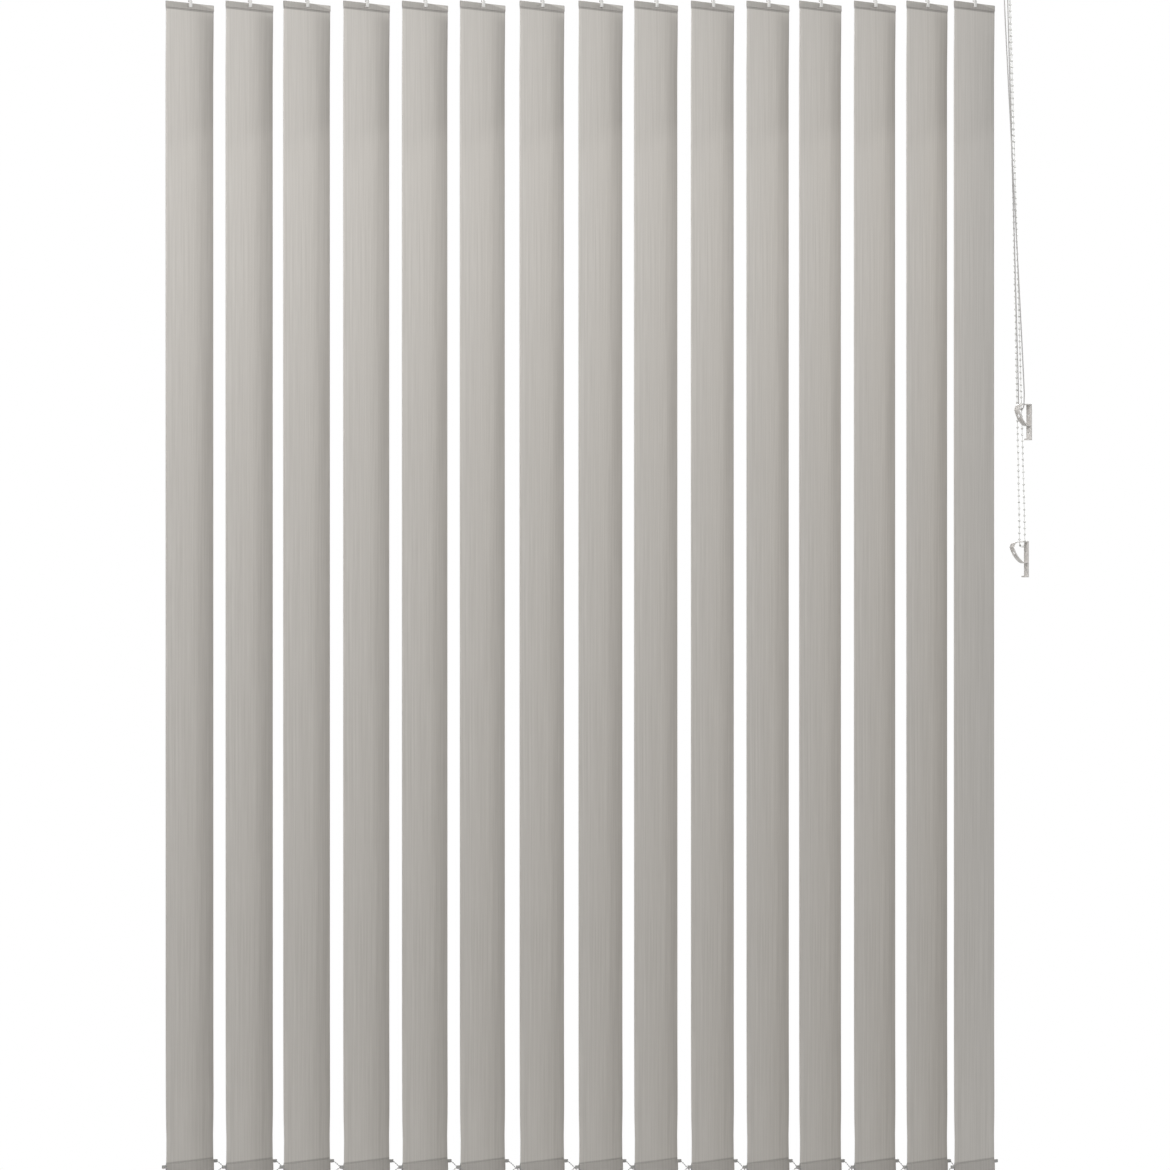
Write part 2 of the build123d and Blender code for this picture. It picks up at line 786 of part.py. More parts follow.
def hanging_run(top, low):
    """One strand from where it leaves the housing to beside a clip, upright at both ends."""
    points = [top, (top[0], top[1], top[2] - upright_run), (low[0], low[1], low[2] + upright_run), low]
    return FilletPolyline(*points, radius=turn_radii(points)).edges()


def clip_bend(place, turn, share, reach):
    """The bend of a loop round the clip's top band: its two ends and its lowest point."""
    drop = clip_wall + clip_hang_gap
    front = clip_point(place, turn, share, -reach, drop)
    back = clip_point(place, turn, share, reach, drop)
    return front, back, clip_point(place, turn, share, 0, drop + reach)


def tilt_chain():
    """The bead chain's loop, from the top of the wheel round the lower clip and back."""
    reach = clip_band / 2 + bead_diameter / 2 + clip_hang_gap
    front, back, low = clip_bend(chain_clip_place, chain_clip_turn, chain_clip_share, reach)
    quarter = wheel_turn * math.sqrt(0.5)
    near = (wheel_x, rod_y - wheel_turn, rod_z)
    far = (wheel_x, rod_y + wheel_turn, rod_z)
    start = (wheel_x, rod_y - loop_join_gap, rod_z + wheel_turn)
    end = (wheel_x, rod_y + loop_join_gap, rod_z + wheel_turn)
    edges = [ThreePointArc(start, (wheel_x, rod_y - quarter, rod_z + quarter), near)]
    edges += hanging_run(near, front)
    edges += [ThreePointArc(front, low, back)]
    edges += reversed_run(far, back)
    edges += [ThreePointArc(far, (wheel_x, rod_y + quarter, rod_z + quarter), end)]
    return tube(edges, bead_diameter)


def reversed_run(top, low):
    """The same strand, listed from its lower end up."""
    points = [low, (low[0], low[1], low[2] + upright_run), (top[0], top[1], top[2] - upright_run), top]
    return FilletPolyline(*points, radius=turn_radii(points)).edges()


def traverse_cord():
    """The cord's loop: lead truck, return sheave, back along the rail, down to its clip and up."""
    reach = clip_band / 2 + cord_diameter / 2 + clip_hang_gap
    front, back, low = clip_bend(cord_clip_place, cord_clip_turn, cord_clip_share, reach)
    lead_x = first_vane_x
    turn_x = return_pulley_x()
    quarter = pulley_turn * math.sqrt(0.5)
    outer = (turn_x, cord_outer_y, cord_z)
    inner = (turn_x, cord_inner_y, cord_z)
    far = (turn_x - return_turn, cord_middle_y, cord_z)
    back_top = (back_pulley_x, cord_inner_y, cord_z)
    back_fall = (back_pulley_x + pulley_turn, cord_inner_y, pulley_z)
    front_fall = (front_pulley_x + pulley_turn, cord_outer_y, pulley_z)
    front_top = (front_pulley_x, cord_outer_y, cord_z)
    edges = [Line((lead_x - loop_join_gap, cord_outer_y, cord_z), outer)]
    edges += [ThreePointArc(outer, far, inner)]
    edges += [Line(inner, back_top)]
    edges += [ThreePointArc(back_top, (back_pulley_x + quarter, cord_inner_y, pulley_z + quarter), back_fall)]
    edges += hanging_run(back_fall, back)
    edges += [ThreePointArc(back, low, front)]
    edges += reversed_run(front_fall, front)
    edges += [ThreePointArc(front_fall, (front_pulley_x + quarter, cord_outer_y, pulley_z + quarter), front_top)]
    edges += [Line(front_top, (lead_x + loop_join_gap, cord_outer_y, cord_z))]
    return tube(edges, cord_diameter)


# The sub-parts
save("headrail", headrail())
save("ceiling_brackets", *[ceiling_bracket(x) for x in bracket_places])
save("control_housing", control_housing())
save("return_end_cap", return_end_cap())
save("tilt_rod", tilt_rod())
save("chain_wheel", chain_wheel())
save("cord_pulley_front", control_pulley(front_pulley_x, cord_outer_y))
save("cord_pulley_back", control_pulley(back_pulley_x, cord_inner_y))
save("return_pulley", return_pulley())
save("cord_clip", safety_clip(cord_clip_place, cord_clip_turn))
save("chain_clip", safety_clip(chain_clip_place, chain_clip_turn))
save("tilt_chain", tilt_chain())
save("traverse_cord", traverse_cord())
save("front_chain", *chain_spans(-1))
save("back_chain", *chain_spans(1))

fabric = vane_fabric()
fittings = [stem_and_hook(), hanger(), bottom_weight()]
body = truck_body()
sleeve = worm()
for index, x in enumerate(vane_x):
    number = f"{index + 1:02d}"
    pieces = [body, sleeve, spacer_strip(index) if index else cord_clamp()]
    save(f"truck_{number}", *[Pos(x, 0, 0) * piece for piece in pieces])
    save(f"vane_{number}", hung(fabric, x))
    save(f"vane_fittings_{number}", *[hung(piece, x) for piece in fittings])
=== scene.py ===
import math

import bmesh
import bpy
from mathutils import Matrix, Vector


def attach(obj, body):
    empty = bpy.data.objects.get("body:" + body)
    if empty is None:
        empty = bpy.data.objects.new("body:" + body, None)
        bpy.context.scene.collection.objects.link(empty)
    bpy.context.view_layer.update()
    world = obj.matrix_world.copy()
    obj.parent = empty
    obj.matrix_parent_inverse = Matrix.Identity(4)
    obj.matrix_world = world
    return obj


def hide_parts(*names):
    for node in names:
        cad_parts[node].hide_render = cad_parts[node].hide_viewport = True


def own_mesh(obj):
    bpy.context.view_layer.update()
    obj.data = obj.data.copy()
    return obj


# The looks of a vertical blind: fabric vanes on hooks, bead chains, a cord and their clips.
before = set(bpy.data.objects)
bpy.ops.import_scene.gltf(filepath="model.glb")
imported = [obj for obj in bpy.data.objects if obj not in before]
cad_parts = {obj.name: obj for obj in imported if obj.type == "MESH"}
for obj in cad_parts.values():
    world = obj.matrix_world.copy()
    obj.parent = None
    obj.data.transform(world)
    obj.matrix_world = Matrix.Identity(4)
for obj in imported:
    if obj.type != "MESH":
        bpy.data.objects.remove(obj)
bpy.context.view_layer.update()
scene = bpy.context.scene
MM = 0.001

# Places and sizes of the vanes, in millimetres as the solids have them
vane_pitches = [115.0, 110.5, 115.0, 112.5, 111.0, 114.5, 113.0,
                106.5, 109.0, 106.5, 101.0, 105.0, 100.5, 91.0]
last_vane_x = 750.0
vane_count = len(vane_pitches) + 1
first_vane_x = last_vane_x - sum(vane_pitches)
vane_x = [first_vane_x + sum(vane_pitches[:i]) for i in range(vane_count)]
vane_turn = math.radians(48.3)
vane_width = 127.0
vane_top = -53.0
vane_bottom = -2333.0
fabric_thickness = 0.45
top_pocket_half = 1.1
bottom_pocket_half = 1.45
top_weld = (-64.25, -68.25)
bottom_weld = (-2281.0, -2285.0)
slot_half_width = 4.1
slot_bottom = -61.55
slot_top = -58.15
vane_bow = 2.3
vane_bow_low = 1.3
free_below_top = 140.0
free_above_low = 260.0
waist_depth = 1.6
waist_z = -2248.0
waist_reach = 42.0
cloth_rows = 56
column_places = [20.0, 34.0, 46.0, 56.0, 61.5]
low_pocket_rows = (-2297.0, -2315.0)
top_seam_step = 0.6
low_seam_step = 0.8
sheet_below_top_weld = 6.0
sheet_above_low_weld = 4.0
same_place = 0.01

# Stabiliser chains, from knob to knob of the bottom weights
knob_u = 69.0
knob_z = -2288.6
knob_size = (7.6, 4.6, 6.6)
knob_edge = 1.6
knob_reach = 4.12
chain_span = 128.0
sag_correction = 0.38
sag_shares = (0.8, 0.5, 0.2)
sag_pull = 4.4
small_bead = 2.5
small_bead_pitch = 4.4
small_thread = 0.9

# Control loops
cord_diameter = 2.2
bead_diameter = 4.5
bead_pitch = 12.0
bead_thread = 1.1
wheel_centre = (819.5, 9.5, -19.5)
wheel_turn = 10.208
cord_inner_y = -10.2
cord_outer_y = -17.4
cord_z = -16.0
pulley_z = -21.5
return_x = -811.8
return_turn = 3.6
front_pulley_x = 800.9
back_pulley_x = 807.9
pulley_turn = 5.5
upright_run = 40.0
clip_drop = 2.6

# How far a route's control points stand from its turns and ends, or as what share of a radius
quarter_turn_share = 0.6
half_turn_share = 0.75
return_reach = 0.4
return_inset = 0.6
corner_step = 1.0
end_gap = 0.2
wheel_run = 12.0
sheave_run = 25.0
pulley_runs = (10.0, 45.0)
band_share = 0.75
band_depth = 1.05
band_rise = 6.0

# The P-clips: where their top meets the wall, their turn about Z in degrees, how far from the wall the cord
# hangs and how far each of its strands stands from the band's middle
cord_clip = {"place": (856.4, -1.0, -825.0), "turn": 43.0, "from_wall": 24.0, "reach": 7.5}
chain_clip = {"place": (852.6, 14.4, -1089.0), "turn": 32.0, "from_wall": 12.0, "reach": 8.65}

# The cloth's colours, how much darker its welds are, painted shade on its pockets where the doubled cloth
# lets less light through, and a painted shadow of the rail over its top
fabric_dark = (0.470, 0.449, 0.421)
fabric_light = (0.545, 0.523, 0.494)
top_pocket_shade = 0.26
low_pocket_shade = 0.20
weld_shade = 0.16
# Where the painted shade of the top pocket stops at the hanger's cut corner
corner_start = 14.0
corner_slope = 0.165
corner_softness = 0.8
# The painted shadow of the rail over the top of the cloth: its depth, slant, softness and darkness at each
# side
shade_depth = 244.0
shade_slant = 0.38
shade_softness = 26.0
shade_left = 0.03
shade_right = 0.10
pocket_softness = 0.8
weld_softness = 0.6
before_cloth = -1.0
after_cloth = 9.0

# A clip's loop in its own frame, from the wall and below the top
loop_far = 37.0
loop_base = 13.0
loop_shoulder = 14.0
loop_height = 43.0
loop_radius = 9.0
shoulder_radius = 13.5
wall_bulge = 3.2
wall_reach = 4.0
wall_skin = 1.0
level_step = 2

# How far edges are rounded, from how many degrees on, and what is merged or flattened before
fine_edge = 0.15
thin_edge = 0.2
fitting_edge = 0.25
plain_edge = 0.3
clip_edge = 0.5
housing_edge = 0.6
sharp_from = 30.0
flat_within = 0.5
weld_distance = 0.004
cut_distance = 0.0001

# Camera, floor and light, in metres
camera_distance = 10.0
camera_height = -1.116
frame_width_at_vanes = 2.2534
frame_drop = 30.0 / 1170.0
sensor_width = 36.0
floor_z = -2.40
floor_size = 12.0
room_light = 0.22


# Meshes
def new_piece(name, bm, material, body, replaced=(), smooth_below=40.0):
    """Makes an object of a bmesh, gives it its finish and lets it ride on a body."""
    mesh = bpy.data.meshes.new(name)
    bm.to_mesh(mesh)
    bm.free()
    return piece_of_mesh(name, mesh, material, body, replaced, smooth_below)


def piece_of_mesh(name, mesh, material, body, replaced=(), smooth_below=40.0):
    """Makes an object of a mesh, with edges flatter than smooth_below shaded smooth."""
    mesh.materials.clear()
    mesh.materials.append(material)
    mesh.shade_smooth()
    mesh.set_sharp_from_angle(angle=math.radians(smooth_below))
    piece = bpy.data.objects.new(name, mesh)
    scene.collection.objects.link(piece)
    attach(piece, body)
    if replaced:
        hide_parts(*replaced)
    return piece


def softened(name, node, width, material, body, segments=2, keep=None, shape=None):
    """Stands for a CAD node, or the part to keep, with its sharp edges rounded as a mould leaves them."""
    bm = bmesh.new()
    bm.from_mesh(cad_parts[node].data)
    bmesh.ops.remove_doubles(bm, verts=bm.verts, dist=weld_distance * MM)
    if keep:
        bmesh.ops.delete(bm, geom=[vert for vert in bm.verts if not keep(vert.co)], context="VERTS")
    bmesh.ops.dissolve_limit(bm, angle_limit=math.radians(flat_within), verts=bm.verts, edges=bm.edges)
    limit = math.radians(sharp_from)
    sharp = [edge for edge in bm.edges if edge.is_manifold and edge.calc_face_angle() > limit]
    bmesh.ops.bevel(bm, geom=sharp, offset=width * MM, segments=segments, affect="EDGES",
                    profile=0.5, material=-1, clamp_overlap=True)
    if shape:
        shape(bm)
    return new_piece(name, bm, material, body, replaced=[node])


def hung(x):
    """From a vane's own axes to its place on the rail."""
    return Matrix.Translation((x * MM, 0, 0)) @ Matrix.Rotation(vane_turn, 4, "Z")


# Cords
def route_curve(name, points):
    """A NURBS curve whose control points are these points in millimetres."""
    curve = bpy.data.curves.new(name, "CURVE")
    curve.dimensions = "3D"
    curve.resolution_u = 16
    spline = curve.splines.new("NURBS")
    spline.points.add(len(points) - 1)
    for control, point in zip(spline.points, points):
        control.co = (point[0] * MM, point[1] * MM, point[2] * MM, 1.0)
    spline.order_u = 3
    spline.use_endpoint_u = True
    return curve


def curve_mesh(curve, bevel=0.0):
    """The mesh that Blender makes of a curve: its bare line, or its tube."""
    curve.bevel_depth = bevel * MM
    curve.bevel_resolution = 2
    curve.use_fill_caps = bevel > 0
    holder = bpy.data.objects.new("route_holder", curve)
    scene.collection.objects.link(holder)
    bpy.context.view_layer.update()
    graph = bpy.context.evaluated_depsgraph_get()
    mesh = bpy.data.meshes.new_from_object(holder.evaluated_get(graph))
    bpy.data.objects.remove(holder)
    return mesh


def spaced(points, step):
    """Points every step metres along a line of points, with the line's direction there."""
    found = []
    travelled = 0.0
    wanted = step / 2
    for first, second in zip(points, points[1:]):
        run = (second - first).length
        while run > 0 and wanted <= travelled + run:
            share = (wanted - travelled) / run
            found.append((first.lerp(second, share), (second - first).normalized()))
            wanted += step
        travelled += run
    return found


def bead_pattern(size):
    """One bead about the origin, with its thread's direction along Z."""
    bm = bmesh.new()
    bmesh.ops.create_uvsphere(bm, u_segments=8, v_segments=6, radius=size / 2 * MM)
    mesh = bpy.data.meshes.new("bead_pattern")
    bm.to_mesh(mesh)
    bm.free()
    return mesh


def bead_chain(name, route, thread, bead, pitch, material, body, node):
    """Beads on a thin thread that follows a route's own spline."""
    curve = route_curve(name, route)
    line = [vertex.co.copy() for vertex in curve_mesh(curve).vertices]
    bm = bmesh.new()
    bm.from_mesh(curve_mesh(curve, thread / 2))
    pattern = bead_pattern(bead)
    for place, along in spaced(line, pitch * MM):
        turn = along.to_track_quat("Z", "Y").to_matrix().to_4x4()
        one = pattern.copy()
        one.transform(Matrix.Translation(place) @ turn)
        bm.from_mesh(one)
        bpy.data.meshes.remove(one)
    piece = new_piece(name, bm, material, body, replaced=[node], smooth_below=80.0)
    return piece, line


def clip_point(clip, across, drop):
    """A point in a clip's own frame: across its band, below its top."""
    angle = math.radians(clip["turn"])
    x, y, z = clip["place"]
    from_wall = clip["from_wall"]
    return (
        x - from_wall * math.cos(angle) - across * math.sin(angle),
        y - from_wall * math.sin(angle) + across * math.cos(angle),
        z - drop,
    )


def rounder_loop(clip):
    """How a clip's loop differs from the straight-walled solid: a round shoulder and a bowed wall."""
    angle = math.radians(clip["turn"])
    x, y, z = clip["place"]
    inward = Vector((-math.cos(angle), -math.sin(angle), 0))
    wall_run = Vector((loop_base - loop_far, loop_height - loop_shoulder))
    wall_length = wall_run.length
    wall = wall_run.normalized()
    outward = Vector((wall.y, -wall.x))
    centre = Vector((loop_far - shoulder_radius, shoulder_radius))
    solid_centre = Vector((loop_far - loop_radius, loop_radius))

    def reshape(bm):
        for level in range(level_step, int(loop_height), level_step):
            bmesh.ops.bisect_plane(bm, geom=bm.verts[:] + bm.edges[:] + bm.faces[:], dist=cut_distance * MM,
                                   plane_co=Vector((x, y, z - level)) * MM, plane_no=(0, 0, 1))
        for vert in bm.verts:
            rest = vert.co / MM - Vector((x, y, z))
            at = Vector((rest.dot(inward), -rest.z))
            from_corner = at - Vector((loop_far, loop_shoulder))
            along = from_corner.dot(wall)
            depth = from_corner.dot(outward)
            move = Vector((0, 0))
            if 0 < along < wall_length and -wall_reach < depth < wall_skin:
                move = outward * wall_bulge * math.sin(math.pi * along / wall_length)
            spoke = at - centre
            if spoke.x > 0 > spoke.y and spoke.length > shoulder_radius / 2:
                ray = spoke.normalized()
                back = (centre - solid_centre).dot(ray)
                gap = (centre - solid_centre).length_squared - loop_radius ** 2
                reach = -back + math.sqrt(back * back - gap)
                reach = min(reach, shoulder_radius / max(ray.x, -ray.y))
                move -= ray * (reach - shoulder_radius)
            vert.co += (inward * move.x - Vector((0, 0, move.y))) * MM

    return reshape


def raised(point, height):
    """A point this far above another."""
    return (point[0], point[1], point[2] + height)


def clip_turn_points(clip):
    """The route round a clip's top band, from the room side to the back."""
    reach = clip["reach"]
    front = clip_point(clip, -reach, clip_drop)
    back = clip_point(clip, reach, clip_drop)
    low_front = clip_point(clip, -band_share * reach, clip_drop + band_depth * reach)
    low_back = clip_point(clip, band_share * reach, clip_drop + band_depth * reach)
    return [raised(front, upright_run), raised(front, band_rise), low_front, low_back,
            raised(back, band_rise), raised(back, upright_run)]


def tilt_chain_route():
    """Up over the wheel at both ends and round the lower clip between them."""
    x, y, z = wheel_centre
    near_y = y - wheel_turn
    far_y = y + wheel_turn
    top = z + wheel_turn
    over = quarter_turn_share * wheel_turn
    start = [(x, y - end_gap, top), (x, y - over, top), (x, near_y, z + over), (x, near_y, z - wheel_run)]
    end = [(x, far_y, z - wheel_run), (x, far_y, z + over), (x, y + over, top), (x, y + end_gap, top)]
    fall = raised(start[-1], -upright_run)
    rise = raised(end[0], -upright_run)
    return start + [fall] + clip_turn_points(chain_clip) + [rise] + end


def traverse_cord_route():
    """Lead truck, return sheave, back along the rail, down round the upper clip and back up."""
    lead = first_vane_x
    end_x = return_x - half_turn_share * return_turn - return_reach
    near_run, far_run = pulley_runs
    round_return = [
        (lead - end_gap, cord_outer_y, cord_z), (lead - sheave_run, cord_outer_y, cord_z),
        (return_x + corner_step, cord_outer_y, cord_z), (end_x, cord_outer_y + return_inset, cord_z),
        (end_x, cord_inner_y - return_inset, cord_z), (return_x + corner_step, cord_inner_y, cord_z),
        (return_x + sheave_run, cord_inner_y, cord_z),
    ]
    over = quarter_turn_share * pulley_turn
    corner_z = cord_z - over + corner_step
    back_fall = back_pulley_x + pulley_turn
    front_fall = front_pulley_x + pulley_turn
    down = [
        (back_pulley_x - sheave_run, cord_inner_y, cord_z),
        (back_pulley_x + corner_step, cord_inner_y, cord_z),
        (back_fall, cord_inner_y, corner_z), (back_fall, cord_inner_y, pulley_z - near_run),
        (back_fall, cord_inner_y, pulley_z - far_run),
    ]
    up = [
        (front_fall, cord_outer_y, pulley_z - far_run), (front_fall, cord_outer_y, pulley_z - near_run),
        (front_fall, cord_outer_y, corner_z), (front_pulley_x + corner_step, cord_outer_y, cord_z),
        (front_pulley_x - sheave_run, cord_outer_y, cord_z), (lead + sheave_run, cord_outer_y, cord_z),
        (lead + end_gap, cord_outer_y, cord_z),
    ]
    return round_return + down + list(reversed(clip_turn_points(cord_clip))) + up


def stabiliser_route(side):
    """From the last vane's knob to the first's, sagging between each two."""
    across = side * knob_u * math.cos(vane_turn)
    back = side * knob_u * math.sin(vane_turn)
    points = [(vane_x[-1] + across, back, knob_z)]
    for x, pitch in zip(reversed(vane_x[:-1]), reversed(vane_pitches)):
        gap = pitch - 2 * knob_reach
        # The depth of a shallow arc whose length is chain_span, corrected for a deeper one
        slack = chain_span / gap - 1
        sag = gap * math.sqrt(3 / 8 * slack) * (1 + sag_correction * slack)
        points.append((x + pitch + across - knob_reach, back, knob_z))
        for share in sag_shares:
            drop = sag_pull * sag * share * (1 - share)
            points.append((x + across + knob_reach + share * gap, back, knob_z - drop))
        points.append((x + across + knob_reach, back, knob_z))
    points.append((vane_x[0] + across, back, knob_z))
    return points


# Materials
def node(tree, kind, inputs=None, **settings):
    """Adds a shader node with its settings and the constants on its sockets."""
    made = tree.nodes.new(kind)
    for key, value in settings.items():
        setattr(made, key, value)
    for key, value in (inputs or {}).items():
        made.inputs[key].default_value = value
    return made


def group(name, inputs, outputs):
    """A shader node group with named sockets: each input is (name, kind, value)."""
    tree = bpy.data.node_groups.new(name, "ShaderNodeTree")
    for label, kind, value in inputs:
        socket = tree.interface.new_socket(name=label, in_out="INPUT", socket_type=kind)
        if value is not None:
            socket.default_value = value
    for label, kind in outputs:
        tree.interface.new_socket(name=label, in_out="OUTPUT", socket_type=kind)
    return tree, tree.nodes.new("NodeGroupInput"), tree.nodes.new("NodeGroupOutput")


def grain_group():
    """Fine mottling of a moulded or painted surface: colour, roughness and a slight relief."""
    tree, start, end = group("surface_grain", [
        ("Vector", "NodeSocketVector", None), ("Scale", "NodeSocketFloat", 900.0),
        ("Light", "NodeSocketColor", (0.8, 0.8, 0.8, 1)), ("Dark", "NodeSocketColor", (0.7, 0.7, 0.7, 1)),
        ("Rough Low", "NodeSocketFloat", 0.3), ("Rough High", "NodeSocketFloat", 0.4),
        ("Relief", "NodeSocketFloat", 0.1),
    ], [("Color", "NodeSocketColor"), ("Roughness", "NodeSocketFloat"), ("Normal", "NodeSocketVector")])
    fine = node(tree, "ShaderNodeTexNoise", {"Detail": 3.0, "Roughness": 0.6})
    broad = node(tree, "ShaderNodeTexNoise", {"Scale": 14.0, "Detail": 2.0})
    blend = node(tree, "ShaderNodeMix", data_type="RGBA")
    rough = node(tree, "ShaderNodeMapRange")
    bump = node(tree, "ShaderNodeBump", {"Distance": 0.0002})
    link = tree.links.new
    link(start.outputs["Vector"], fine.inputs["Vector"])
    link(start.outputs["Vector"], broad.inputs["Vector"])
    link(start.outputs["Scale"], fine.inputs["Scale"])
    link(broad.outputs["Fac"], blend.inputs["Factor"])
    link(start.outputs["Light"], blend.inputs["A"])
    link(start.outputs["Dark"], blend.inputs["B"])
    link(fine.outputs["Fac"], rough.inputs["Value"])
    link(start.outputs["Rough Low"], rough.inputs["To Min"])
    link(start.outputs["Rough High"], rough.inputs["To Max"])
    link(fine.outputs["Fac"], bump.inputs["Height"])
    link(start.outputs["Relief"], bump.inputs["Strength"])
    link(blend.outputs["Result"], end.inputs["Color"])
    link(rough.outputs["Result"], end.inputs["Roughness"])
    link(bump.outputs["Normal"], end.inputs["Normal"])
    return tree


def finish(name, grain, light, dark, rough, relief=0.1, scale=900.0, stretch=(1, 1, 1), **constants):
    """A material whose colour, roughness and relief come from the grain group."""
    material = bpy.data.materials.new(name)
    material.use_nodes = True
    tree = material.node_tree
    shader = tree.nodes["Principled BSDF"]
    for key, value in constants.items():
        shader.inputs[key.replace("_", " ")].default_value = value
    place = node(tree, "ShaderNodeTexCoord")
    turn = node(tree, "ShaderNodeMapping", {"Scale": stretch})
    surface = node(tree, "ShaderNodeGroup", node_tree=grain)
    for label, value in (("Scale", scale), ("Light", (*light, 1)), ("Dark", (*dark, 1)),
                         ("Rough Low", rough[0]), ("Rough High", rough[1]), ("Relief", relief)):
        surface.inputs[label].default_value = value
    tree.links.new(place.outputs["Object"], turn.inputs["Vector"])
    tree.links.new(turn.outputs["Vector"], surface.inputs["Vector"])
    tree.links.new(surface.outputs["Color"], shader.inputs["Base Color"])
    tree.links.new(surface.outputs["Roughness"], shader.inputs["Roughness"])
    tree.links.new(surface.outputs["Normal"], shader.inputs["Normal"])
    return material


def band(tree, value, start, end, soft):
    """A mask that is 1 between two values and 0 outside them, with soft ends."""
    link = tree.links.new
    rise = node(tree, "ShaderNodeMapRange", {"From Min": start - soft, "From Max": start + soft},
                interpolation_type="SMOOTHSTEP")
    fall = node(tree, "ShaderNodeMapRange", {"From Min": end + soft, "From Max": end - soft},
                interpolation_type="SMOOTHSTEP")
    both = node(tree, "ShaderNodeMath", operation="MULTIPLY")
    link(value, rise.inputs["Value"])
    link(value, fall.inputs["Value"])
    link(rise.outputs["Result"], both.inputs[0])
    link(fall.outputs["Result"], both.inputs[1])
    return both.outputs["Value"]


def darker(tree, colour, mask, amount):
    """Takes a share of a colour away where a mask is 1."""
    link = tree.links.new
    strength = node(tree, "ShaderNodeMath", {1: amount}, operation="MULTIPLY")
    mix = node(tree, "ShaderNodeMix", {"B": (0, 0, 0, 1)}, data_type="RGBA")
    link(mask, strength.inputs[0])
    link(strength.outputs["Value"], mix.inputs["Factor"])
    link(colour, mix.inputs["A"])
    return mix.outputs["Result"]


